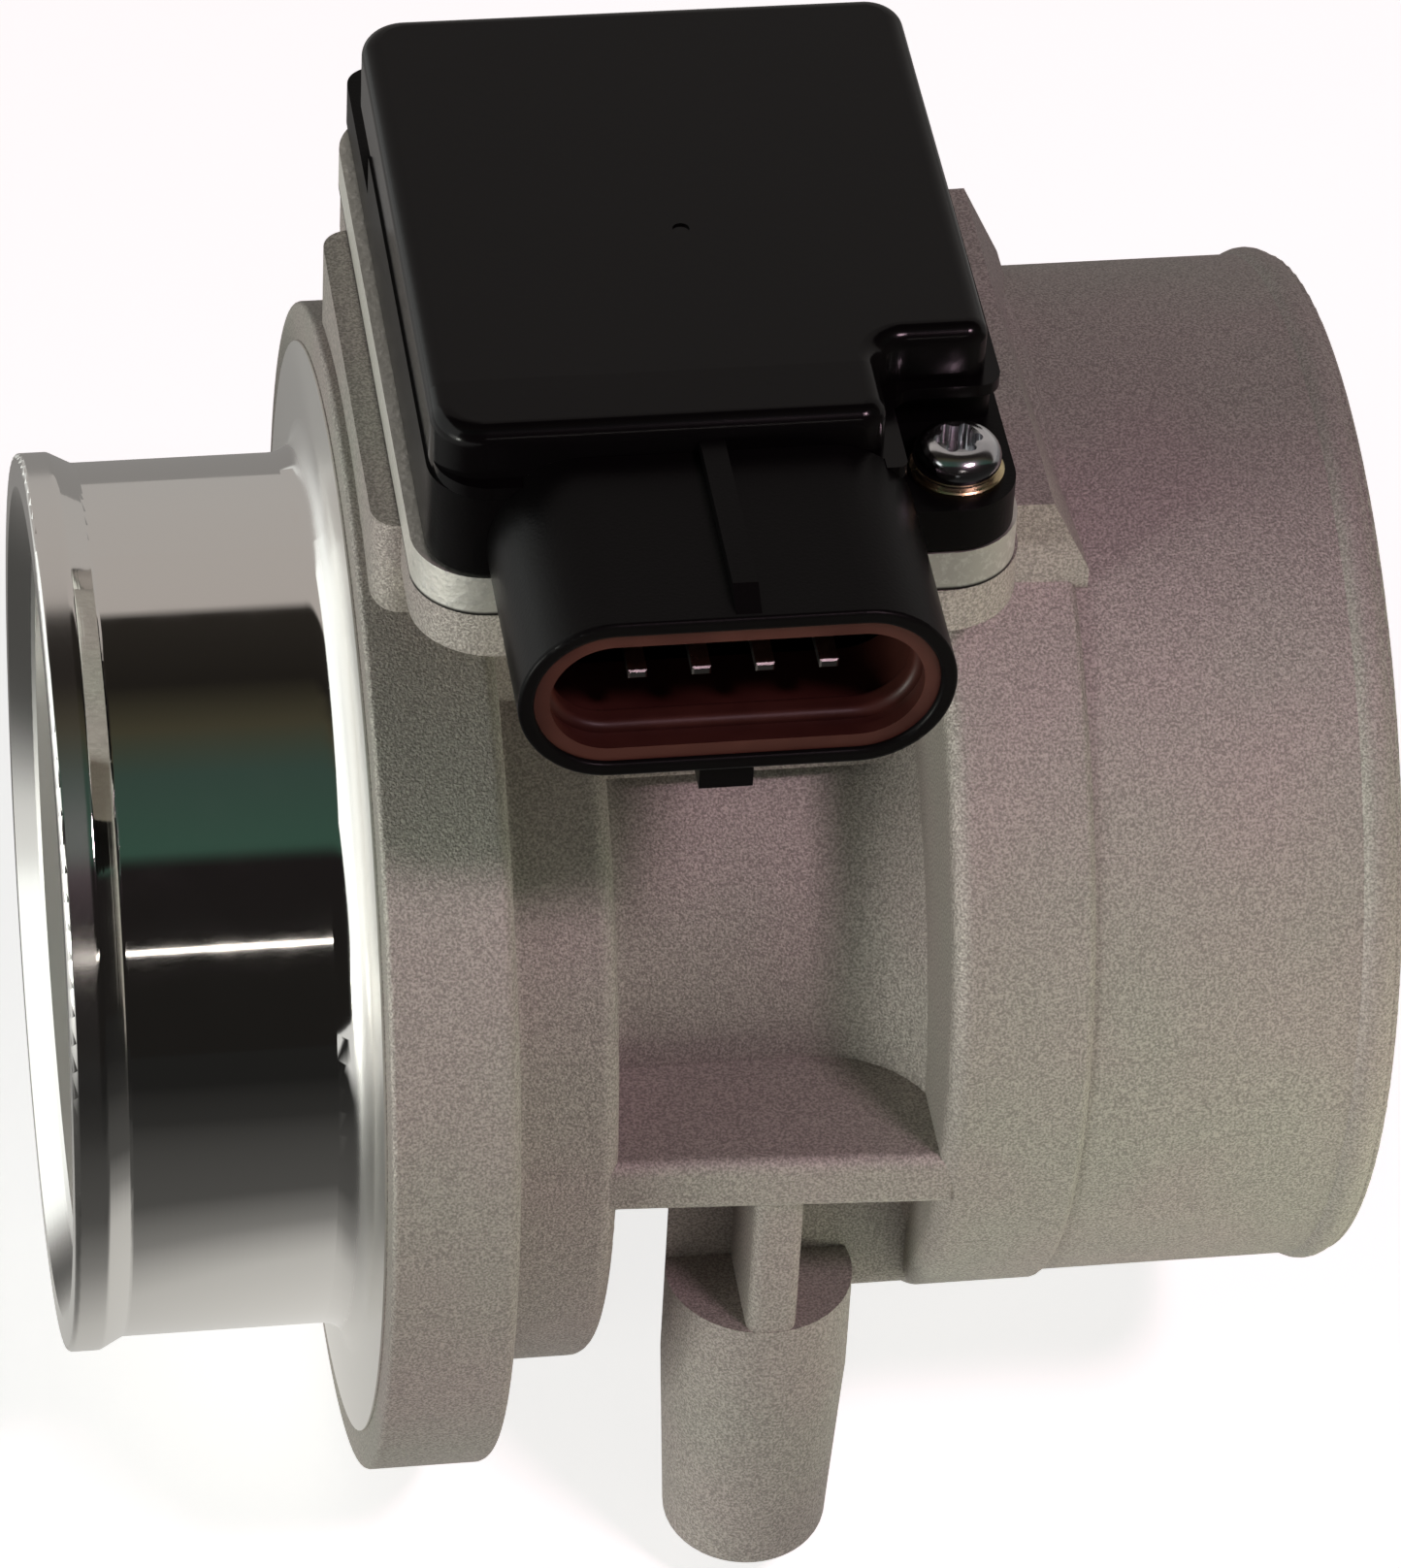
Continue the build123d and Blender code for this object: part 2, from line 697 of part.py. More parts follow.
# Moulded housing with the connector shroud
terminal_xs = [terminal_center_x + terminal_pitch * (i - 1.5) for i in range(4)]
shroud_plane = Plane((shroud_center_x, shroud_mouth_y, shroud_center_z), (1, 0, 0), (0, -1, 0))
shroud_length = wall_front - shroud_mouth_y
with BuildPart() as module_housing:
    with BuildSketch(Plane.XY.offset(ear_bottom)) as ear_plan:
        with Locations((ear_center_x, 0)):
            Rectangle(ear_length, pad_depth)
        fillet(ear_plan.vertices().group_by(Axis.Y)[0], ear_front_radius)
        fillet(ear_plan.vertices().group_by(Axis.Y)[-1], ear_rear_radius)
    extrude(amount=ear_thickness)
    with BuildSketch(Plane.XY.offset(ear_top)) as wall_plan:
        add(wall_outline.sketch)
    extrude(amount=wall_height)

    # Shroud: full depth in front of the plate, and a short root over it
    with BuildSketch(shroud_plane) as shroud_face:
        SlotOverall(shroud_width, shroud_height)
    extrude(amount=-(shroud_length - front_gap))
    with BuildSketch(shroud_plane.offset(-(shroud_length - front_gap))) as shroud_root:
        SlotOverall(shroud_width, shroud_height)
        with Locations((0, ear_bottom - shroud_center_z - shroud_height)):
            Rectangle(2 * shroud_width, 2 * shroud_height, mode=Mode.SUBTRACT)
    extrude(amount=-(cover_front - wall_front))

    # Key rib on top with a ramp at the mouth, and the latch tab below it
    rib_plane = Plane.YZ.offset(key_rib_x - key_rib_width / 2)
    shroud_top = shroud_center_z + shroud_height / 2
    with BuildSketch(rib_plane) as rib_side:
        with BuildLine():
            Polyline(
                (cover_front, shroud_top - overlap),
                (cover_front, shroud_top + key_rib_height),
                (shroud_mouth_y + key_rib_slope_start, shroud_top + key_rib_height),
                (shroud_mouth_y + key_rib_slope_end, shroud_top),
                (shroud_mouth_y + key_rib_slope_end, shroud_top - overlap),
                close=True,
            )
        make_face()
    extrude(amount=key_rib_width)
    tab_bottom = shroud_center_z - shroud_height / 2 - latch_tab_height
    with BuildSketch(Plane.YZ.offset(latch_tab_left)) as tab_side:
        with BuildLine():
            Polyline(
                (shroud_mouth_y + latch_tab_setback, tab_bottom + latch_tab_height + overlap),
                (shroud_mouth_y + latch_tab_setback, tab_bottom),
                (shroud_mouth_y + latch_tab_land, tab_bottom),
                (shroud_mouth_y + latch_tab_length, tab_bottom + latch_tab_height),
                (shroud_mouth_y + latch_tab_length, tab_bottom + latch_tab_height + overlap),
                close=True,
            )
        make_face()
    extrude(amount=latch_tab_width)

    # Cavity with the terminal shelf, then the socket
    with BuildSketch(Plane.XY.offset(ear_bottom)) as cavity_plan:
        add(cavity_outline.sketch)
    extrude(amount=ear_thickness + wall_height, mode=Mode.SUBTRACT)
    shelf_front_y = wall_front + wall_thickness - overlap
    shelf_bottom = ear_bottom + shelf_clearance
    with BuildSketch(Plane.XY.offset(shelf_bottom)) as shelf_plan:
        with Locations((terminal_center_x, (shelf_front_y + shelf_back_y) / 2)):
            Rectangle(2 * shelf_half_width, shelf_back_y - shelf_front_y)
    extrude(amount=shroud_center_z - terminal_thickness / 2 - shelf_bottom)
    with BuildSketch(shroud_plane) as socket_face:
        SlotOverall(shroud_width - 2 * shroud_wall, shroud_height - 2 * shroud_wall)
    extrude(amount=-socket_depth, mode=Mode.SUBTRACT)
    with BuildSketch(shroud_plane) as slot_faces:
        with Locations([(x - shroud_center_x, 0) for x in terminal_xs]):
            Rectangle(terminal_width, terminal_thickness)
    extrude(amount=-(terminal_tail_y - shroud_mouth_y), mode=Mode.SUBTRACT)

    # Groove for the lid bead, and the two ear holes
    with BuildSketch(Plane.XY.offset(wall_top)) as groove_plan:
        add(groove_outer.sketch)
        add(groove_inner.sketch, mode=Mode.SUBTRACT)
    extrude(amount=-groove_depth, mode=Mode.SUBTRACT)
    with Locations([(x, y, ear_top) for x, y in screw_places]):
        Hole(bushing_radius, depth=ear_thickness)
    mouth_edges = module_housing.faces().sort_by(Axis.Y)[0].edges()
    fillet(mouth_edges, shroud_mouth_radius)
write(module_housing.part, "module_housing")

# Lid: rim, soft-edged cover with a sloped top, hollow inside, tongue below
with BuildPart() as cover:
    with BuildSketch(Plane.YZ) as cover_side:
        with BuildLine():
            Polyline(
                (cover_front - overlap, wall_top),
                (cover_front - overlap, rim_top + lid_front_height),
                (cover_front, rim_top + lid_front_height),
                (lid_crease_y, rim_top + lid_crease_height),
                (cover_rear + overlap, rim_top + lid_rear_height),
                (cover_rear + overlap, wall_top),
                close=True,
            )
        make_face()
    extrude(amount=cover_right + overlap)
    with BuildSketch(Plane.XY.offset(wall_top)) as cover_plan:
        add(cover_outline.sketch)
    extrude(amount=2 * lid_rear_height, mode=Mode.INTERSECT)
    top_faces = cover.faces().filter_by(lambda face: face.normal_at().Z > 0.9)
    top_edges = top_faces.edges().filter_by(lambda edge: abs(edge.center().Y - lid_crease_y) > 0.1)
    fillet(top_edges, lid_edge_radius)
with BuildPart() as module_lid:
    with BuildSketch(Plane.XY.offset(wall_top)) as rim_plan:
        add(rim_outline.sketch)
    extrude(amount=lid_rim_thickness)
    add(cover.part)
    with BuildSketch(Plane.XY.offset(wall_top)) as lid_cavity:
        add(cavity_outline.sketch)
    extrude(amount=lid_rim_thickness + lid_front_height - lid_shell, mode=Mode.SUBTRACT)
    with Locations((gate_mark_x, gate_mark_y, rim_top + lid_rear_height)):
        Hole(gate_mark_radius, depth=gate_mark_depth + (lid_rear_height - lid_crease_height) / 2)
    with BuildSketch(Plane.XY.offset(wall_top)) as tongue_plan:
        with BuildSketch(mode=Mode.PRIVATE) as tongue_outer:
            add(cavity_outline.sketch)
            offset(amount=groove_inset + groove_width - tongue_clearance)
        with BuildSketch(mode=Mode.PRIVATE) as tongue_inner:
            add(cavity_outline.sketch)
            offset(amount=groove_inset + tongue_clearance)
        add(tongue_outer.sketch)
        add(tongue_inner.sketch, mode=Mode.SUBTRACT)
    extrude(amount=-tongue_length)
    with BuildSketch(shroud_plane.offset(-(cover_front - shroud_mouth_y))) as shroud_cut:
        SlotOverall(shroud_width + 2 * front_gap, shroud_height + 2 * front_gap)
    extrude(amount=wall_thickness, mode=Mode.SUBTRACT)
write(module_lid.part, "module_lid")

# Adhesive bead in the bottom of the groove
with BuildPart() as lid_seal:
    with BuildSketch(Plane.XY.offset(wall_top - groove_depth)) as bead_plan:
        add(groove_outer.sketch)
        add(groove_inner.sketch, mode=Mode.SUBTRACT)
    extrude(amount=groove_depth - tongue_length)
write(lid_seal.part, "lid_seal")

# Rubber liner of the socket: a flat face ring, then a rounded lip further in
liner_width = shroud_width - 2 * shroud_wall
liner_height = shroud_height - 2 * shroud_wall
liner_plane = shroud_plane.offset(-seal_recess)
with BuildPart() as connector_seal:
    with BuildSketch(liner_plane) as liner_face:
        SlotOverall(liner_width, liner_height)
    extrude(amount=-seal_depth)
    with BuildSketch(liner_plane) as face_opening:
        SlotOverall(liner_width - 2 * seal_face_wall, liner_height - 2 * seal_face_wall)
    extrude(amount=-seal_face_width, mode=Mode.SUBTRACT)
    with BuildSketch(liner_plane.offset(-seal_face_width)) as liner_opening:
        SlotOverall(liner_width - 2 * seal_wall, liner_height - 2 * seal_wall)
    extrude(amount=seal_face_width - seal_depth, mode=Mode.SUBTRACT)
    with BuildPart(mode=Mode.PRIVATE) as seal_lip:
        with BuildSketch(liner_plane.offset(-seal_lip_start)) as lip_face:
            SlotOverall(liner_width - seal_wall, liner_height - seal_wall)
            with BuildSketch(mode=Mode.PRIVATE) as lip_opening:
                SlotOverall(liner_width - 2 * seal_lip_wall, liner_height - 2 * seal_lip_wall)
            add(lip_opening.sketch, mode=Mode.SUBTRACT)
        extrude(amount=-seal_lip_width)
        lip_sides = seal_lip.faces().filter_by(Axis.Y)
        fillet([edge for side in lip_sides for edge in side.inner_wires()[0].edges()], seal_lip_radius)
    add(seal_lip.part)
write(connector_seal.part, "connector_seal")

# Blades, and the ribbons that join their tails to the board
board_top = plate_top + board_thickness
blade_top = shroud_center_z + terminal_thickness / 2
for index, blade_x in enumerate(terminal_xs, start=1):
    blade_plane = Plane((blade_x, terminal_tip_y, shroud_center_z), (1, 0, 0), (0, -1, 0))
    with BuildPart() as terminal:
        with BuildSketch(blade_plane) as blade_section:
            Rectangle(terminal_width, terminal_thickness)
        extrude(amount=-(terminal_tail_y - terminal_tip_y))
        tip_edges = terminal.faces().sort_by(Axis.Y)[0].edges()
        chamfer(tip_edges, terminal_tip_chamfer)
    write(terminal.part, f"terminal_{index}")

    with BuildPart() as terminal_lead:
        with BuildSketch(Plane.YZ.offset(blade_x - lead_width / 2)) as lead_side:
            with BuildLine():
                lead_top = FilletPolyline(
                    (terminal_tail_y - lead_lap, blade_top),
                    (terminal_tail_y + lead_shoulder, blade_top),
                    (terminal_tail_y + lead_reach - lead_foot, board_top),
                    (terminal_tail_y + lead_reach, board_top),
                    radius=lead_bend_radius,
                )
                offset(lead_top, amount=lead_thickness, side=Side.LEFT, closed=True)
            make_face()
        extrude(amount=lead_width)
    write(terminal_lead.part, f"terminal_lead_{index}")

# Fixings
screw_end = head_bottom - screw_length
for side, (screw_x, screw_y) in zip(["front", "rear"], screw_places):
    with BuildPart() as bushing:
        with BuildSketch(Plane.XY.offset(plate_top)) as bushing_plan:
            with Locations((screw_x, screw_y)):
                Circle(bushing_radius)
                Circle(bushing_hole_radius, mode=Mode.SUBTRACT)
        extrude(amount=base_seal_thickness + ear_thickness)
    write(bushing.part, f"bushing_{side}")

    with BuildPart() as washer:
        with BuildSketch(Plane.XY.offset(ear_top)) as washer_plan:
            with Locations((screw_x, screw_y)):
                Circle(washer_radius)
                Circle(washer_hole_radius, mode=Mode.SUBTRACT)
        extrude(amount=washer_thickness)
        chamfer(washer.faces().sort_by(Axis.Z)[-1].outer_wire().edges(), washer_chamfer)
    write(washer.part, f"washer_{side}")

    with BuildPart() as screw:
        with BuildSketch(Plane.XZ.offset(-screw_y)) as screw_profile:
            with BuildLine():
                Polyline(
                    (screw_x, head_bottom + screw_head_height),
                    (screw_x, screw_end),
                    (screw_x + screw_shank_radius - screw_tip_chamfer, screw_end),
                    (screw_x + screw_shank_radius, screw_end + screw_tip_chamfer),
                    (screw_x + screw_shank_radius, head_bottom),
                    (screw_x + screw_head_radius, head_bottom),
                    (screw_x + screw_head_radius, head_bottom + screw_head_edge),
                )
                TangentArc(
                    (screw_x + screw_crown_radius, head_bottom + screw_head_height),
                    (screw_x + screw_head_radius, head_bottom + screw_head_edge),
                    tangent=(1, 0),
                )
                Line(
                    (screw_x + screw_crown_radius, head_bottom + screw_head_height),
                    (screw_x, head_bottom + screw_head_height),
                )
            make_face()
        revolve(axis=Axis((screw_x, screw_y, 0), (0, 0, 1)))
        with BuildSketch(Plane.XY.offset(head_bottom + screw_head_height)) as star:
            with Locations((screw_x, screw_y)):
                Circle(screw_star_radius)
                with PolarLocations(screw_star_radius, 6):
                    Circle(screw_star_lobe_radius)
        extrude(amount=-screw_star_depth, mode=Mode.SUBTRACT)
    write(screw.part, f"screw_{side}")

# Probe plug: flange stem in the pad, neck through the plate, prongs and elements
prong_places = [
    (module_center_x + sx * prong_spacing_x / 2, probe_y + sy * prong_spacing_y / 2)
    for sx in (-1, 1)
    for sy in (-1, 1)
]
stem_bottom = bypass_height + bypass_radius
o_ring_top = pad_top - probe_o_ring_cover
o_ring_bottom = o_ring_top - probe_o_ring_width
with BuildPart() as probe_holder:
    with BuildSketch(Plane.XZ.offset(-probe_y)) as holder_profile:
        with BuildLine():
            groove_radius = probe_stem_radius - probe_o_ring_depth
            Polyline(
                (module_center_x, stem_bottom),
                (module_center_x + probe_stem_radius, stem_bottom),
                (module_center_x + probe_stem_radius, o_ring_bottom),
                (module_center_x + groove_radius, o_ring_bottom),
                (module_center_x + groove_radius, o_ring_top),
                (module_center_x + probe_stem_radius, o_ring_top),
                (module_center_x + probe_stem_radius, pad_top),
                (module_center_x + probe_neck_radius, pad_top),
                (module_center_x + probe_neck_radius, plate_top),
                (module_center_x, plate_top),
                close=True,
            )
        make_face()
    revolve(axis=Axis((module_center_x, probe_y, 0), (0, 0, 1)))
    with BuildSketch(Plane.XY.offset(stem_bottom)) as prong_slots:
        with Locations(prong_places):
            Rectangle(prong_width, prong_width)
    extrude(amount=plate_top - stem_bottom, mode=Mode.SUBTRACT)
write(probe_holder.part, "probe_holder")

# Squeezed ring between the groove and the wall of the probe bore
o_ring_outer = probe_stem_radius + probe_stem_clearance
o_ring_center = (o_ring_outer + groove_radius) / 2
with BuildPart() as probe_o_ring:
    with BuildSketch(Plane.XZ.offset(-probe_y)) as o_ring_section:
        with Locations((module_center_x + o_ring_center, (o_ring_top + o_ring_bottom) / 2)):
            RectangleRounded(
                o_ring_outer - groove_radius,
                probe_o_ring_width - probe_o_ring_squeeze,
                probe_o_ring_corner,
            )
    revolve(axis=Axis((module_center_x, probe_y, 0), (0, 0, 1)))
write(probe_o_ring.part, "probe_o_ring")

prong_bottom = bypass_height - prong_drop
prong_top = board_top + prong_top_rise
for index, (prong_x, prong_y) in enumerate(prong_places, start=1):
    with BuildPart() as probe_prong:
        with BuildSketch(Plane.XY.offset(prong_bottom)) as prong_section:
            with Locations((prong_x, prong_y)):
                Rectangle(prong_width, prong_width)
        extrude(amount=prong_top - prong_bottom)
    write(probe_prong.part, f"probe_prong_{index}")

# Sensing elements between the prongs, across the bypass flow
element_length = prong_spacing_y - prong_width
for name, element_x in [
    ("hot_wire", module_center_x - prong_spacing_x / 2),
    ("temperature_element", module_center_x + prong_spacing_x / 2),
]:
    element_plane = Plane.XZ.offset(-probe_y)
    with BuildPart() as element:
        with BuildSketch(element_plane) as wire_section:
            with Locations((element_x, bypass_height)):
                Circle(element_radius)
        extrude(amount=element_length / 2, both=True)
        with BuildSketch(element_plane) as bobbin_section:
            with Locations((element_x, bypass_height)):
                Circle(element_bead_radius)
        extrude(amount=element_bead_length / 2, both=True)
    write(element.part, name)

# Ceramic board on the plate, with its two large components
with BuildPart() as circuit_board:
    with BuildSketch(Plane.XY.offset(plate_top)) as board_plan:
        with Locations((module_center_x, board_center_y)):
            Rectangle(board_length, board_depth)
        with Locations(prong_places):
            Rectangle(prong_width, prong_width, mode=Mode.SUBTRACT)
    extrude(amount=board_thickness)
write(circuit_board.part, "circuit_board")

with BuildPart() as control_chip:
    with BuildSketch(Plane.XY.offset(board_top)) as chip_plan:
        with Locations((chip_x, chip_y)):
            Rectangle(chip_length, chip_depth)
    extrude(amount=chip_height, taper=case_taper)
write(control_chip.part, "control_chip")

with BuildPart() as heater_transistor:
    with BuildSketch(Plane.XY.offset(board_top)) as tab_plan:
        with Locations((transistor_x, transistor_y)):
            Rectangle(transistor_length, transistor_depth)
    extrude(amount=transistor_tab_height)
    case_y = transistor_y - (transistor_depth - transistor_case_depth) / 2
    with BuildSketch(Plane.XY.offset(board_top + transistor_tab_height)) as case_plan:
        with Locations((transistor_x, case_y)):
            Rectangle(transistor_length, transistor_case_depth)
    extrude(amount=transistor_height - transistor_tab_height, taper=case_taper)
write(heater_transistor.part, "heater_transistor")
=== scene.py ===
"""Looks of the mass airflow sensor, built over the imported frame. Metres, +Z up."""

import math

import bpy
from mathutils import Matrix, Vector


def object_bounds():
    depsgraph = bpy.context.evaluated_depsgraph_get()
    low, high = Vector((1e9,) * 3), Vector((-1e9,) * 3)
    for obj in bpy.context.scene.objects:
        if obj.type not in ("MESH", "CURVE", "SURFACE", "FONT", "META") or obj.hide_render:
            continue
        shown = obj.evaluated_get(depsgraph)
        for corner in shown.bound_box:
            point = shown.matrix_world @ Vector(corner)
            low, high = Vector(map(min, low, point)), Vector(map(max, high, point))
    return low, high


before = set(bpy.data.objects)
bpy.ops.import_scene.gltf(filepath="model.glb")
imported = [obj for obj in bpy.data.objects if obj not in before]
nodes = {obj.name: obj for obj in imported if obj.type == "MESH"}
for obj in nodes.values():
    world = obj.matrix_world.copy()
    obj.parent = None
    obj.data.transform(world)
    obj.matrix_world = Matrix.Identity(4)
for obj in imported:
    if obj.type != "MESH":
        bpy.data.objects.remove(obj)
cad_low, cad_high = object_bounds()
bpy.ops.object.select_all(action="DESELECT")


# Camera: the sensor is seen from above its connector side, a little from the left, through a
# long lens. The frame is taken as 1444 x 1616.
bpy.ops.object.camera_add(
    location=(-0.0592026, -0.5078382, 0.4435024),
    rotation=(math.radians(49.86811), math.radians(-2.50649), math.radians(-8.17520)),
)
camera = bpy.context.object
camera.name = "photo_camera"
camera.data.sensor_fit = "AUTO"
camera.data.sensor_width = 36.0
camera.data.lens = 177.263
camera.data.clip_start = 0.02
camera.data.clip_end = 20.0
bpy.context.scene.camera = camera
bpy.context.scene.view_settings.view_transform = "Standard"


# Studio: a pinkish key lamp high on the right, a narrow bar lamp in front that draws the bright
# line on the turned spigot, two greenish white lamps low on the left and in front, two glowing
# cards, a pale table, and a room that the turned metal mirrors.
def add_soft_lamp(name, location, target, width, height, power, color):
    """Adds an area lamp that looks at a target."""
    bpy.ops.object.light_add(type="AREA", location=location)
    lamp = bpy.context.object
    lamp.name = name
    lamp.data.shape = "RECTANGLE"
    lamp.data.size = width
    lamp.data.size_y = height
    lamp.data.energy = power
    lamp.data.color = color
    aim = Vector(target) - Vector(location)
    lamp.rotation_euler = aim.to_track_quat("-Z", "Y").to_euler()
    return lamp


add_soft_lamp(
    "key_lamp", (0.50, -0.69, 1.06), (0.02, 0, 0.01), 0.22, 0.16, 6.0, (1.0, 0.69, 0.82)
)
add_soft_lamp(
    "front_lamp", (0.17, -1.15, 0.59), (0.02, 0, 0), 0.25, 0.02, 0.12, (1.0, 0.92, 0.86)
)
add_soft_lamp(
    "left_lamp", (-1.0, -0.62, 0.04), (0, 0, 0.02), 0.35, 0.2, 7.4, (0.98, 1.0, 0.92)
)
low_lamp = add_soft_lamp(
    "low_lamp", (-0.15, -1.20, -0.04), (0.03, 0, -0.03), 0.5, 0.04, 0.9, (0.97, 1.0, 0.88)
)
low_lamp.visible_glossy = False


def add_glow_card(name, location, rotation, width, height, color, strength):
    """Adds a glowing card that the camera doesn't see."""
    bpy.ops.mesh.primitive_plane_add(size=1.0, location=location, rotation=rotation)
    card = bpy.context.object
    card.name = name
    card.scale = (width, height, 1)
    card.visible_camera = False
    card.visible_shadow = False
    glow = bpy.data.materials.new(name)
    glow.use_nodes = True
    shader = glow.node_tree.nodes["Principled BSDF"]
    shader.inputs["Base Color"].default_value = (0, 0, 0, 1)
    shader.inputs["Emission Color"].default_value = color
    shader.inputs["Emission Strength"].default_value = strength
    card.data.materials.append(glow)
    return card


# One card lies in front and lights the undersides. One stands on the left and is seen only
# in glossy surfaces.
floor_card = add_glow_card(
    "floor_card",
    location=(0.36, -0.20, cad_low.z + 0.0005),
    rotation=(0, 0, math.radians(-14)),
    width=0.55,
    height=0.42,
    color=(0.98, 1, 0.80, 1),
    strength=5.2,
)
floor_card.visible_glossy = False
left_card = add_glow_card(
    "left_card",
    location=(-0.9, 0.25, 0.5),
    rotation=(0, math.radians(90), 0),
    width=1.1,
    height=1.8,
    color=(0.97, 1, 0.97, 1),
    strength=1.3,
)
left_card.visible_diffuse = False

world = bpy.context.scene.world or bpy.data.worlds.new("studio")
bpy.context.scene.world = world
world.use_nodes = True
world.node_tree.nodes.clear()


def add_node(tree, kind, values=(), **settings):
    """Adds a node, sets its properties and its input sockets, and returns it."""
    node = tree.nodes.new(kind)
    for key, value in settings.items():
        setattr(node, key, value)
    for socket, value in dict(values).items():
        node.inputs[socket].default_value = value
    return node


def add_ramp(tree, share, stops):
    """Adds a colour ramp with these stops, driven by a socket."""
    ramp = add_node(tree, "ShaderNodeValToRGB")
    elements = ramp.color_ramp.elements
    while len(elements) < len(stops):
        elements.new(0.5)
    for element, (position, color) in zip(elements, stops):
        element.position = position
        element.color = color
    tree.links.new(share, ramp.inputs["Fac"])
    return ramp


def room_nodes(tree):
    """Fills the room that mirrors see by the ray's tilt about X, as the photo's spigot shows it.

    From straight down at the front (0), by the front, up (0.5) and the back to straight down.
    """
    link = tree.links.new
    direction = add_node(tree, "ShaderNodeTexCoord")
    parts = add_node(tree, "ShaderNodeSeparateXYZ")
    link(direction.outputs["Generated"], parts.inputs[0])
    tilt = add_node(tree, "ShaderNodeMath", operation="ARCTAN2")
    link(parts.outputs["Y"], tilt.inputs[0])
    link(parts.outputs["Z"], tilt.inputs[1])
    share = add_node(
        tree, "ShaderNodeMapRange", {"From Min": -math.pi, "From Max": math.pi}
    )
    link(tilt.outputs[0], share.inputs["Value"])
    stops = [
        (0.00, (0.012, 0.011, 0.010, 1)),
        (0.30, (0.012, 0.011, 0.010, 1)),
        (0.385, (0.012, 0.010, 0.010, 1)),
        (0.395, (0.035, 0.075, 0.055, 1)),
        (0.45, (0.035, 0.060, 0.048, 1)),
        (0.485, (0.050, 0.045, 0.028, 1)),
        (0.52, (0.014, 0.012, 0.010, 1)),
        (0.578, (0.022, 0.019, 0.016, 1)),
        (0.586, (0.42, 0.385, 0.36, 1)),
        (0.70, (0.42, 0.395, 0.375, 1)),
        (0.80, (0.40, 0.385, 0.37, 1)),
        (1.00, (0.30, 0.30, 0.29, 1)),
    ]
    ramp = add_ramp(tree, share.outputs["Result"], stops)
    rays = add_node(tree, "ShaderNodeLightPath")
    soft = add_node(tree, "ShaderNodeBackground", {"Color": (0.102, 0.101, 0.097, 1)})
    mirrored = add_node(tree, "ShaderNodeBackground")
    link(ramp.outputs["Color"], mirrored.inputs["Color"])
    white = add_node(tree, "ShaderNodeBackground", {"Color": (1, 1, 1, 1)})
    by_gloss = add_node(tree, "ShaderNodeMixShader")
    link(rays.outputs["Is Glossy Ray"], by_gloss.inputs["Fac"])
    link(soft.outputs[0], by_gloss.inputs[1])
    link(mirrored.outputs[0], by_gloss.inputs[2])
    by_camera = add_node(tree, "ShaderNodeMixShader")
    link(rays.outputs["Is Camera Ray"], by_camera.inputs["Fac"])
    link(by_gloss.outputs[0], by_camera.inputs[1])
    link(white.outputs[0], by_camera.inputs[2])
    output = add_node(tree, "ShaderNodeOutputWorld")
    link(by_camera.outputs[0], output.inputs["Surface"])


room_nodes(world.node_tree)

bpy.ops.mesh.primitive_plane_add(size=8.0, location=(0.03, 0, cad_low.z))
table_top = bpy.context.object
table_top.name = "table_top"


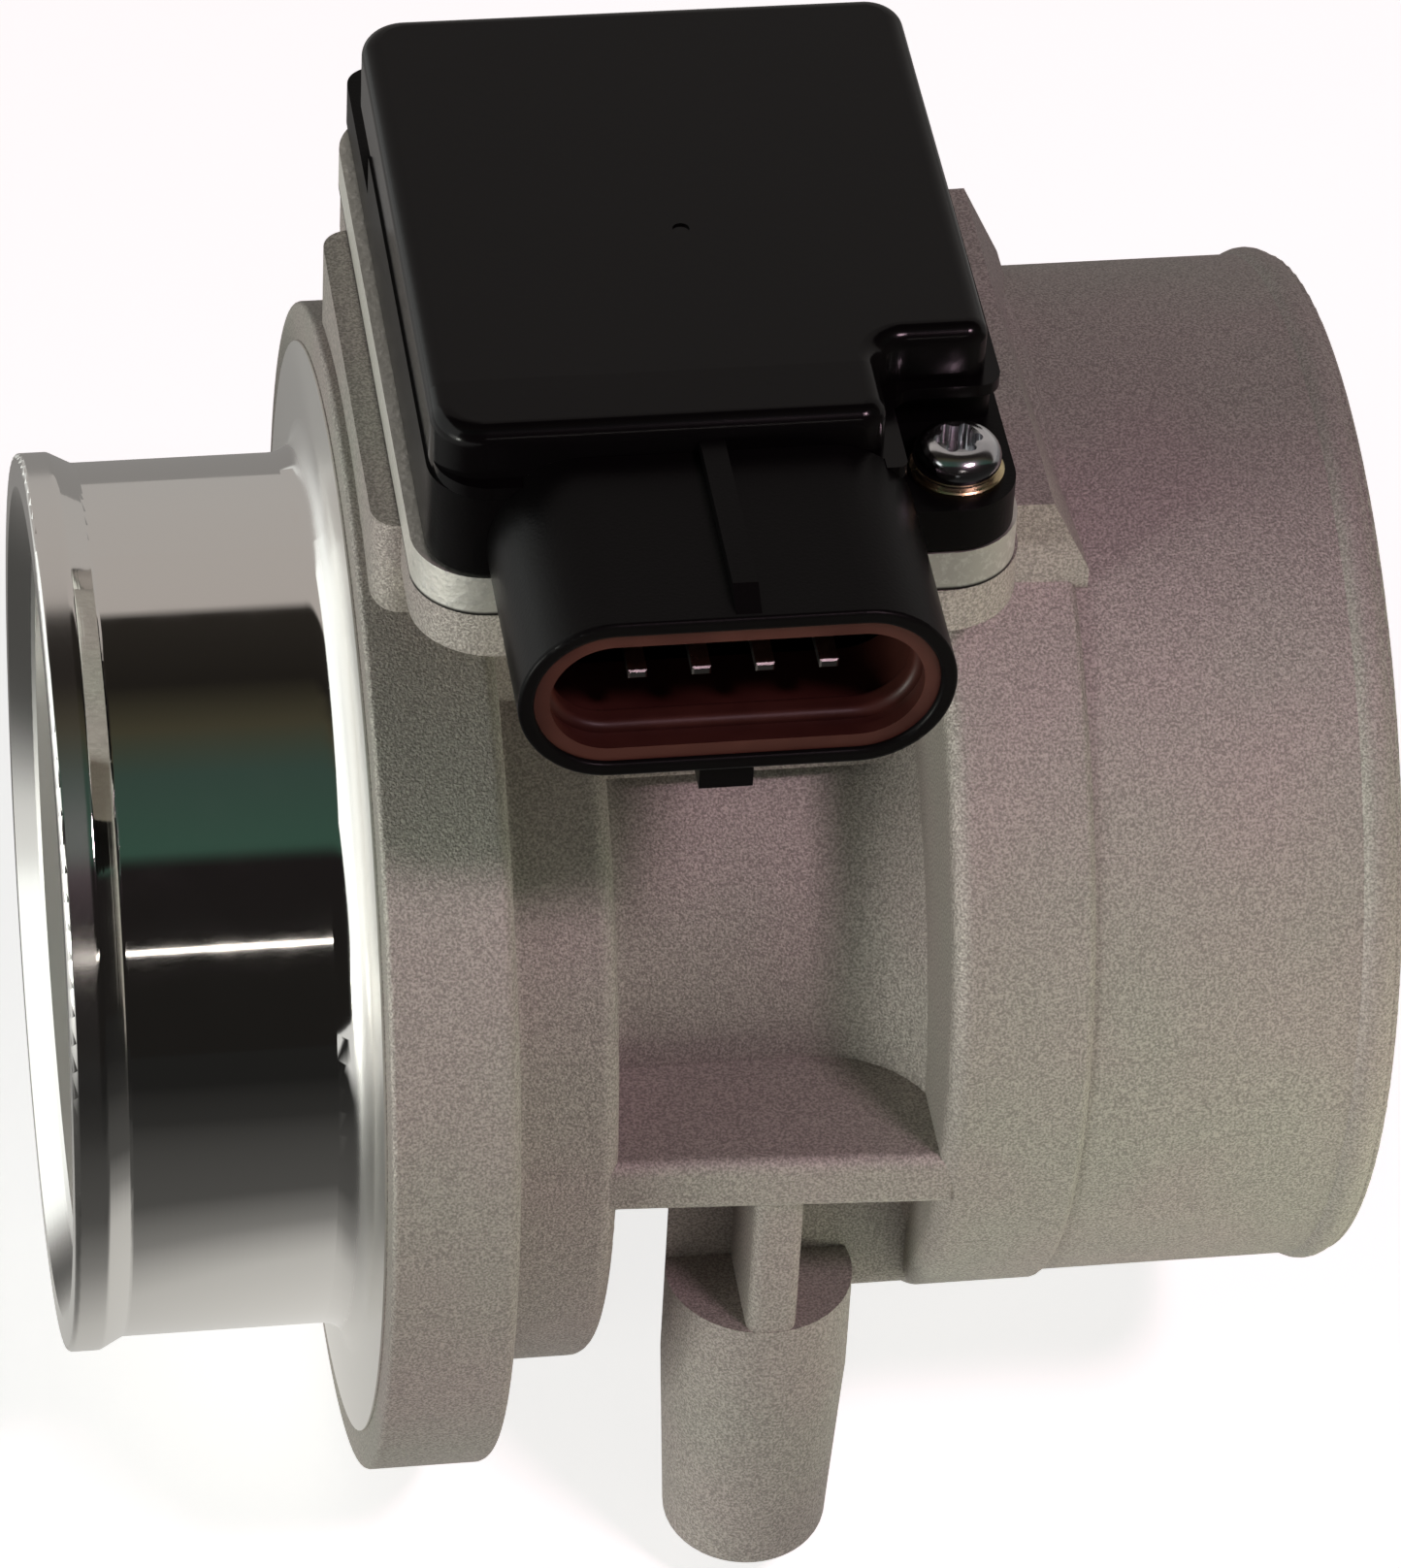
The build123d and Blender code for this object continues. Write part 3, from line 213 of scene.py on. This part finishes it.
def table_material():
    """A matt white table.

    It glows white for camera and transmission rays. For glossy rays it glows by a ramp as a
    painted reflection: pale near the sensor, behind it and far to its left, and dark elsewhere.
    """
    material = bpy.data.materials.new("white_table")
    material.use_nodes = True
    tree = material.node_tree
    link = tree.links.new
    shader = tree.nodes["Principled BSDF"]
    shader.inputs["Roughness"].default_value = 0.9
    shader.inputs["Specular IOR Level"].default_value = 0.0
    rays = add_node(tree, "ShaderNodeLightPath")
    tone = add_node(tree, "ShaderNodeMix", data_type="RGBA")
    tone.inputs["A"].default_value = (0.80, 0.79, 0.77, 1)
    tone.inputs["B"].default_value = (0, 0, 0, 1)
    link(rays.outputs["Is Glossy Ray"], tone.inputs["Factor"])
    link(tone.outputs["Result"], shader.inputs["Base Color"])

    place = add_node(tree, "ShaderNodeTexCoord")
    reach = add_node(tree, "ShaderNodeVectorMath", operation="LENGTH")
    link(place.outputs["Object"], reach.inputs[0])
    share = add_node(tree, "ShaderNodeMapRange", {"From Min": 0.0, "From Max": 0.4})
    link(reach.outputs["Value"], share.inputs["Value"])
    levels = [
        (0.05, 0.80),
        (0.10, 0.64),
        (0.15, 0.50),
        (0.19, 0.20),
        (0.24, 0.075),
        (0.36, 0.055),
        (0.50, 0.028),
        (1.00, 0.014),
    ]
    stops = [(at, (level, level * 0.98, level * 0.93, 1)) for at, level in levels]
    ramp = add_ramp(tree, share.outputs["Result"], stops)
    sides = add_node(tree, "ShaderNodeSeparateXYZ")
    link(place.outputs["Object"], sides.inputs[0])
    behind = add_node(tree, "ShaderNodeMapRange", {"From Min": 0.05, "From Max": 0.12})
    link(sides.outputs["Y"], behind.inputs["Value"])
    paler = add_node(tree, "ShaderNodeMix", data_type="RGBA")
    paler.inputs["B"].default_value = (0.25, 0.24, 0.23, 1)
    link(behind.outputs["Result"], paler.inputs["Factor"])
    link(ramp.outputs["Color"], paler.inputs["A"])
    beside = add_node(tree, "ShaderNodeMapRange", {"From Min": -0.14, "From Max": -0.22})
    link(sides.outputs["X"], beside.inputs["Value"])
    bright_left = add_node(tree, "ShaderNodeMix", data_type="RGBA")
    bright_left.inputs["B"].default_value = (0.68, 0.68, 0.66, 1)
    link(beside.outputs["Result"], bright_left.inputs["Factor"])
    link(paler.outputs["Result"], bright_left.inputs["A"])
    # Painted reflection: for glossy rays the table's glow takes the ramp above instead of white.
    glow = add_node(tree, "ShaderNodeMix", data_type="RGBA")
    glow.inputs["A"].default_value = (1, 1, 1, 1)
    link(rays.outputs["Is Glossy Ray"], glow.inputs["Factor"])
    link(bright_left.outputs["Result"], glow.inputs["B"])
    link(glow.outputs["Result"], shader.inputs["Emission Color"])
    seen = add_node(tree, "ShaderNodeMath", operation="ADD")
    link(rays.outputs["Is Camera Ray"], seen.inputs[0])
    link(rays.outputs["Is Transmission Ray"], seen.inputs[1])
    strength = add_node(tree, "ShaderNodeMath", {1: 0.75}, operation="MULTIPLY_ADD")
    link(seen.outputs[0], strength.inputs[0])
    link(rays.outputs["Is Glossy Ray"], strength.inputs[2])
    link(strength.outputs[0], shader.inputs["Emission Strength"])
    return material


table_top.data.materials.append(table_material())


# Casting: the duct, flange, throat, saddle and post are one die casting in aluminium, shot
# blasted to a fine grain. The outlet spigot, the flange face and the bores are turned bright.
def cast_grain_group():
    """Grain of a blasted or moulded skin: a height, and a fleck mask for colour and gloss."""
    group = bpy.data.node_groups.new("skin_grain", "ShaderNodeTree")
    sockets = group.interface
    for name, value in [("Grain Scale", 2100.0), ("Patch Scale", 60.0), ("Fleck Share", 0.5)]:
        made = sockets.new_socket(name, in_out="INPUT", socket_type="NodeSocketFloat")
        made.default_value = value
    for name in ("Height", "Fleck", "Patch"):
        sockets.new_socket(name, in_out="OUTPUT", socket_type="NodeSocketFloat")
    link = group.links.new
    given = group.nodes.new("NodeGroupInput")
    result = group.nodes.new("NodeGroupOutput")
    place = add_node(group, "ShaderNodeTexCoord")
    fine = add_node(group, "ShaderNodeTexNoise", {"Detail": 3.0, "Roughness": 0.6})
    link(place.outputs["Object"], fine.inputs["Vector"])
    link(given.outputs["Grain Scale"], fine.inputs["Scale"])
    cells = add_node(group, "ShaderNodeTexVoronoi", feature="F1")
    link(place.outputs["Object"], cells.inputs["Vector"])
    link(given.outputs["Grain Scale"], cells.inputs["Scale"])
    height = add_node(group, "ShaderNodeMath", operation="MULTIPLY_ADD")
    height.inputs[1].default_value = 0.45
    link(cells.outputs["Distance"], height.inputs[0])
    link(fine.outputs["Fac"], height.inputs[2])
    link(height.outputs[0], result.inputs["Height"])
    above = add_node(group, "ShaderNodeMath", operation="SUBTRACT")
    link(fine.outputs["Fac"], above.inputs[0])
    link(given.outputs["Fleck Share"], above.inputs[1])
    sharp = add_node(group, "ShaderNodeMath", operation="MULTIPLY", use_clamp=True)
    sharp.inputs[1].default_value = 4.5
    link(above.outputs[0], sharp.inputs[0])
    link(sharp.outputs[0], result.inputs["Fleck"])
    patch = add_node(group, "ShaderNodeTexNoise", {"Detail": 2.0, "Roughness": 0.5})
    link(place.outputs["Object"], patch.inputs["Vector"])
    link(given.outputs["Patch Scale"], patch.inputs["Scale"])
    link(patch.outputs["Fac"], result.inputs["Patch"])
    return group


skin_grain = cast_grain_group()


def mask_from(tree, value, low, high):
    """0 below low, 1 above high, on a socket."""
    step = add_node(tree, "ShaderNodeMapRange", {"From Min": low, "From Max": high})
    tree.links.new(value, step.inputs["Value"])
    return step.outputs["Result"]


def combine(tree, operation, first, second):
    """One Math node on two sockets, or on a socket and a number."""
    node = add_node(tree, "ShaderNodeMath", operation=operation)
    for i, item in enumerate((first, second)):
        if isinstance(item, (int, float)):
            node.inputs[i].default_value = item
        else:
            tree.links.new(item, node.inputs[i])
    return node.outputs[0]


def radius_about(tree, across, up, height):
    """Distance of a point from a duct axis at that height."""
    offset = combine(tree, "SUBTRACT", up, height)
    across_squared = combine(tree, "MULTIPLY", across, across)
    offset_squared = combine(tree, "MULTIPLY", offset, offset)
    return combine(tree, "SQRT", combine(tree, "ADD", across_squared, offset_squared), 0.0)


def casting_material():
    """Blasted casting skin, with turned surfaces where the tool has cut."""
    material = bpy.data.materials.new("cast_aluminium_skin")
    material.use_nodes = True
    tree = material.node_tree
    link = tree.links.new
    shader = tree.nodes["Principled BSDF"]
    shader.inputs["Specular IOR Level"].default_value = 0.4

    place = add_node(tree, "ShaderNodeTexCoord")
    parts = add_node(tree, "ShaderNodeSeparateXYZ")
    link(place.outputs["Object"], parts.inputs[0])
    x, y, z = parts.outputs["X"], parts.outputs["Y"], parts.outputs["Z"]
    from_outlet_axis = radius_about(tree, y, z, 0.0)
    from_inlet_axis = radius_about(tree, y, z, 0.00886)

    before_flange = combine(tree, "SUBTRACT", 1.0, mask_from(tree, x, 0.00010, 0.00018))
    bore_limit = add_node(
        tree,
        "ShaderNodeMapRange",
        {"From Min": 0.002, "From Max": 0.0204, "To Min": 0.0343, "To Max": 0.0288},
    )
    link(x, bore_limit.inputs["Value"])
    past_bore = combine(tree, "SUBTRACT", from_outlet_axis, bore_limit.outputs["Result"])
    in_outlet_bore = combine(tree, "SUBTRACT", 1.0, mask_from(tree, past_bore, 0.0, 0.0002))
    in_inlet_bore = combine(
        tree,
        "MULTIPLY",
        combine(tree, "SUBTRACT", 1.0, mask_from(tree, from_inlet_axis, 0.0424, 0.0426)),
        mask_from(tree, x, 0.0640, 0.0642),
    )
    turned = combine(tree, "MAXIMUM", before_flange, in_outlet_bore)
    turned = combine(tree, "MAXIMUM", turned, in_inlet_bore)
    metallic = add_node(tree, "ShaderNodeMapRange", {"To Min": 0.5, "To Max": 1.0})
    link(turned, metallic.inputs["Value"])
    link(metallic.outputs["Result"], shader.inputs["Metallic"])

    grain = add_node(tree, "ShaderNodeGroup", node_tree=skin_grain)
    grain.inputs["Grain Scale"].default_value = 4600.0
    grain.inputs["Patch Scale"].default_value = 45.0
    grain.inputs["Fleck Share"].default_value = 0.40

    cast_color = add_node(tree, "ShaderNodeMix", data_type="RGBA")
    cast_color.inputs["A"].default_value = (0.285, 0.272, 0.252, 1)
    cast_color.inputs["B"].default_value = (0.53, 0.508, 0.473, 1)
    link(grain.outputs["Fleck"], cast_color.inputs["Factor"])
    patched = add_node(tree, "ShaderNodeMix", data_type="RGBA", blend_type="MULTIPLY")
    patched.inputs["Factor"].default_value = 1.0
    tint = add_node(tree, "ShaderNodeMix", data_type="RGBA")
    tint.inputs["A"].default_value = (1.0, 0.93, 0.94, 1)
    tint.inputs["B"].default_value = (0.95, 0.97, 0.93, 1)
    link(mask_from(tree, grain.outputs["Patch"], 0.35, 0.65), tint.inputs["Factor"])
    link(cast_color.outputs["Result"], patched.inputs["A"])
    link(tint.outputs["Result"], patched.inputs["B"])
    color = add_node(tree, "ShaderNodeMix", data_type="RGBA")
    link(turned, color.inputs["Factor"])
    link(patched.outputs["Result"], color.inputs["A"])
    color.inputs["B"].default_value = (0.88, 0.865, 0.84, 1)
    link(color.outputs["Result"], shader.inputs["Base Color"])

    rings_at = add_node(tree, "ShaderNodeCombineXYZ")
    link(x, rings_at.inputs["X"])
    link(from_outlet_axis, rings_at.inputs["Y"])
    rings = add_node(tree, "ShaderNodeTexNoise", {"Scale": 3800.0, "Detail": 2.0})
    link(rings_at.outputs[0], rings.inputs["Vector"])
    streaks = add_node(tree, "ShaderNodeTexNoise", {"Scale": 260.0, "Detail": 3.0})
    link(place.outputs["Object"], streaks.inputs["Vector"])

    turned_rough = add_node(
        tree,
        "ShaderNodeMapRange",
        {"From Min": 0.3, "From Max": 0.75, "To Min": 0.04, "To Max": 0.08},
    )
    link(streaks.outputs["Fac"], turned_rough.inputs["Value"])
    cast_rough = add_node(tree, "ShaderNodeMapRange", {"To Min": 0.62, "To Max": 0.52})
    link(grain.outputs["Fleck"], cast_rough.inputs["Value"])
    rough = add_node(tree, "ShaderNodeMix", data_type="FLOAT")
    at_bead = combine(tree, "SUBTRACT", 1.0, mask_from(tree, x, -0.0226, -0.0222))
    near_flange = mask_from(tree, x, -0.0040, -0.0030)
    off_spigot = mask_from(tree, from_outlet_axis, 0.0382, 0.0388)
    at_face = combine(tree, "MULTIPLY", near_flange, off_spigot)
    cut_rough = turned_rough.outputs["Result"]
    for mask, roughness in ((in_outlet_bore, 0.36), (at_bead, 0.17), (at_face, 0.34)):
        part_rough = combine(tree, "MULTIPLY", mask, roughness)
        cut_rough = combine(tree, "MAXIMUM", cut_rough, part_rough)
    link(turned, rough.inputs["Factor"])
    link(cast_rough.outputs["Result"], rough.inputs["A"])
    link(cut_rough, rough.inputs["B"])
    link(rough.outputs["Result"], shader.inputs["Roughness"])

    cast_bump = add_node(tree, "ShaderNodeBump", {"Strength": 0.8, "Distance": 0.00012})
    link(grain.outputs["Height"], cast_bump.inputs["Height"])
    ring_bump = add_node(tree, "ShaderNodeBump", {"Strength": 0.10, "Distance": 0.00002})
    link(rings.outputs["Fac"], ring_bump.inputs["Height"])
    normal = add_node(tree, "ShaderNodeMix", data_type="VECTOR")
    link(turned, normal.inputs["Factor"])
    link(cast_bump.outputs["Normal"], normal.inputs["A"])
    link(ring_bump.outputs["Normal"], normal.inputs["B"])
    link(normal.outputs["Result"], shader.inputs["Normal"])
    return material


def dress(names, material):
    """Gives CAD nodes one finish on their own material slots."""
    for name in names:
        slots = nodes[name].data.materials
        slots.clear()
        slots.append(material)


dress(["cast_body"], casting_material())


# Base plate: a rolled aluminium plate with a bright, slightly rough face, clamped between
# the pad and the electronics housing. Its colour turns dark in a thin band at its foot, along
# the seam above the pad.
def plate_material():
    """Bright rolled plate with pale flecks and a dark seam at its foot."""
    material = bpy.data.materials.new("plate_aluminium_skin")
    material.use_nodes = True
    tree = material.node_tree
    link = tree.links.new
    shader = tree.nodes["Principled BSDF"]
    shader.inputs["Metallic"].default_value = 0.85
    grain = add_node(tree, "ShaderNodeGroup", node_tree=skin_grain)
    grain.inputs["Grain Scale"].default_value = 1500.0
    grain.inputs["Patch Scale"].default_value = 90.0
    grain.inputs["Fleck Share"].default_value = 0.5
    color = add_node(tree, "ShaderNodeMix", data_type="RGBA")
    color.inputs["A"].default_value = (0.74, 0.725, 0.67, 1)
    color.inputs["B"].default_value = (0.94, 0.93, 0.88, 1)
    link(grain.outputs["Fleck"], color.inputs["Factor"])
    place = add_node(tree, "ShaderNodeTexCoord")
    parts = add_node(tree, "ShaderNodeSeparateXYZ")
    link(place.outputs["Object"], parts.inputs[0])
    # Colour turns dark in a thin band at the plate's foot, just above the pad.
    seam = add_node(tree, "ShaderNodeMix", data_type="RGBA")
    link(mask_from(tree, parts.outputs["Z"], 0.05598, 0.05622), seam.inputs["Factor"])
    seam.inputs["A"].default_value = (0.035, 0.033, 0.030, 1)
    link(color.outputs["Result"], seam.inputs["B"])
    link(seam.outputs["Result"], shader.inputs["Base Color"])
    rough = add_node(tree, "ShaderNodeMapRange", {"To Min": 0.5, "To Max": 0.34})
    link(grain.outputs["Fleck"], rough.inputs["Value"])
    link(rough.outputs["Result"], shader.inputs["Roughness"])
    bump = add_node(tree, "ShaderNodeBump", {"Strength": 0.4, "Distance": 0.0001})
    link(grain.outputs["Height"], bump.inputs["Height"])
    link(bump.outputs["Normal"], shader.inputs["Normal"])
    return material


dress(["base_plate"], plate_material())


# Housing: black glass-filled moulding with the connector shroud in one piece, satin, with
# the fine spark texture of its mould.
def moulded_black(name, dark, pale, rough_low, rough_high, texture_scale, depth, gloss=0.14):
    """Black moulded plastic: base tone and gloss vary a little over a fine texture."""
    material = bpy.data.materials.new(name)
    material.use_nodes = True
    tree = material.node_tree
    link = tree.links.new
    shader = tree.nodes["Principled BSDF"]
    shader.inputs["Metallic"].default_value = 0.0
    shader.inputs["Specular IOR Level"].default_value = gloss
    grain = add_node(tree, "ShaderNodeGroup", node_tree=skin_grain)
    grain.inputs["Grain Scale"].default_value = texture_scale
    grain.inputs["Patch Scale"].default_value = 70.0
    grain.inputs["Fleck Share"].default_value = 0.5
    color = add_node(tree, "ShaderNodeMix", data_type="RGBA")
    color.inputs["A"].default_value = dark
    color.inputs["B"].default_value = pale
    link(grain.outputs["Patch"], color.inputs["Factor"])
    link(color.outputs["Result"], shader.inputs["Base Color"])
    rough = add_node(tree, "ShaderNodeMapRange", {"To Min": rough_low, "To Max": rough_high})
    link(grain.outputs["Patch"], rough.inputs["Value"])
    link(rough.outputs["Result"], shader.inputs["Roughness"])
    bump = add_node(tree, "ShaderNodeBump", {"Strength": depth, "Distance": 0.00005})
    link(grain.outputs["Height"], bump.inputs["Height"])
    link(bump.outputs["Normal"], shader.inputs["Normal"])
    return material


housing_black = moulded_black(
    "housing_plastic_skin",
    dark=(0.0022, 0.0019, 0.0020, 1),
    pale=(0.0042, 0.0038, 0.0040, 1),
    rough_low=0.26,
    rough_high=0.38,
    texture_scale=3200.0,
    depth=0.25,
    gloss=0.08,
)
dress(["module_housing"], housing_black)


# Lid: black moulded cover with a glossier skin and soft edges, glued into the housing.
lid_black = moulded_black(
    "lid_plastic_skin",
    dark=(0.0022, 0.0018, 0.0020, 1),
    pale=(0.0040, 0.0035, 0.0038, 1),
    rough_low=0.12,
    rough_high=0.22,
    texture_scale=1400.0,
    depth=0.08,
    gloss=0.17,
)
dress(["module_lid"], lid_black)


# Liner of the socket: terracotta silicone rubber with a soft double lip, pushed into the
# shroud, where it seals round the plug.
def matt_material(name, dark, pale, rough):
    """Rubber or ceramic: two tones over soft patches, with a faint grain."""
    material = bpy.data.materials.new(name)
    material.use_nodes = True
    tree = material.node_tree
    link = tree.links.new
    shader = tree.nodes["Principled BSDF"]
    shader.inputs["Specular IOR Level"].default_value = 0.3
    grain = add_node(tree, "ShaderNodeGroup", node_tree=skin_grain)
    grain.inputs["Grain Scale"].default_value = 1500.0
    grain.inputs["Patch Scale"].default_value = 180.0
    color = add_node(tree, "ShaderNodeMix", data_type="RGBA")
    color.inputs["A"].default_value = dark
    color.inputs["B"].default_value = pale
    link(mask_from(tree, grain.outputs["Patch"], 0.35, 0.65), color.inputs["Factor"])
    link(color.outputs["Result"], shader.inputs["Base Color"])
    shader_rough = add_node(
        tree, "ShaderNodeMapRange", {"To Min": rough - 0.06, "To Max": rough + 0.08}
    )
    link(grain.outputs["Patch"], shader_rough.inputs["Value"])
    link(shader_rough.outputs["Result"], shader.inputs["Roughness"])
    bump = add_node(tree, "ShaderNodeBump", {"Strength": 0.15, "Distance": 0.00004})
    link(grain.outputs["Height"], bump.inputs["Height"])
    link(bump.outputs["Normal"], shader.inputs["Normal"])
    return material


liner_terracotta = matt_material(
    "liner_rubber_skin", (0.038, 0.0105, 0.0078, 1), (0.056, 0.0165, 0.0120, 1), 0.42
)
dress(["connector_seal"], liner_terracotta)
gasket_black = matt_material(
    "gasket_rubber_skin", (0.012, 0.012, 0.012, 1), (0.024, 0.023, 0.022, 1), 0.6
)
dress(["base_seal", "lid_seal", "probe_o_ring"], gasket_black)


# Terminals and fixings: tinned brass blades, chrome star screws, yellow zinc washers and
# brass sleeves.
def plated_material(name, dull, bright, rough_low, rough_high, scale):
    """Plated or bare metal: gloss and tone vary over soft patches."""
    material = bpy.data.materials.new(name)
    material.use_nodes = True
    tree = material.node_tree
    link = tree.links.new
    shader = tree.nodes["Principled BSDF"]
    shader.inputs["Metallic"].default_value = 1.0
    grain = add_node(tree, "ShaderNodeGroup", node_tree=skin_grain)
    grain.inputs["Grain Scale"].default_value = scale * 4
    grain.inputs["Patch Scale"].default_value = scale
    color = add_node(tree, "ShaderNodeMix", data_type="RGBA")
    color.inputs["A"].default_value = dull
    color.inputs["B"].default_value = bright
    link(mask_from(tree, grain.outputs["Patch"], 0.35, 0.6), color.inputs["Factor"])
    link(color.outputs["Result"], shader.inputs["Base Color"])
    rough = add_node(tree, "ShaderNodeMapRange", {"To Min": rough_high, "To Max": rough_low})
    link(grain.outputs["Patch"], rough.inputs["Value"])
    link(rough.outputs["Result"], shader.inputs["Roughness"])
    bump = add_node(tree, "ShaderNodeBump", {"Strength": 0.1, "Distance": 0.00003})
    link(grain.outputs["Height"], bump.inputs["Height"])
    link(bump.outputs["Normal"], shader.inputs["Normal"])
    return material


tin = plated_material(
    "terminal_tin_skin", (0.26, 0.25, 0.24, 1), (0.46, 0.45, 0.43, 1), 0.2, 0.4, 500.0
)
dress([f"terminal_{i}" for i in range(1, 5)] + [f"terminal_lead_{i}" for i in range(1, 5)], tin)
chrome = plated_material(
    "screw_chrome_skin", (0.55, 0.55, 0.58, 1), (0.78, 0.78, 0.80, 1), 0.10, 0.22, 300.0
)
dress(["screw_front", "screw_rear"], chrome)
zinc = plated_material(
    "washer_zinc_skin", (0.58, 0.44, 0.24, 1), (0.80, 0.68, 0.42, 1), 0.18, 0.34, 500.0
)
dress(["washer_front", "washer_rear"], zinc)
brass = plated_material(
    "sleeve_brass_skin", (0.55, 0.42, 0.20, 1), (0.74, 0.60, 0.32, 1), 0.22, 0.36, 400.0
)
dress(["bushing_front", "bushing_rear"], brass)


# Flow screen and its snap ring in the inlet: both are bright spring and wire steel.
screen_steel = plated_material(
    "screen_steel_skin", (0.50, 0.50, 0.49, 1), (0.68, 0.68, 0.66, 1), 0.2, 0.35, 350.0
)
dress(["inlet_screen", "screen_ring"], screen_steel)


# Inside the module and the bypass: ceramic board, moulded components and the probe.
board_ceramic = matt_material(
    "board_ceramic_skin", (0.62, 0.60, 0.53, 1), (0.74, 0.72, 0.66, 1), 0.55
)
dress(["circuit_board", "temperature_element", "hot_wire"], board_ceramic)
chip_plastic = moulded_black(
    "chip_plastic_skin",
    dark=(0.012, 0.012, 0.012, 1),
    pale=(0.022, 0.021, 0.020, 1),
    rough_low=0.45,
    rough_high=0.6,
    texture_scale=2600.0,
    depth=0.2,
)
dress(["control_chip", "heater_transistor", "probe_holder"], chip_plastic)
dress([f"probe_prong_{i}" for i in range(1, 5)], tin)

bpy.context.view_layer.update()
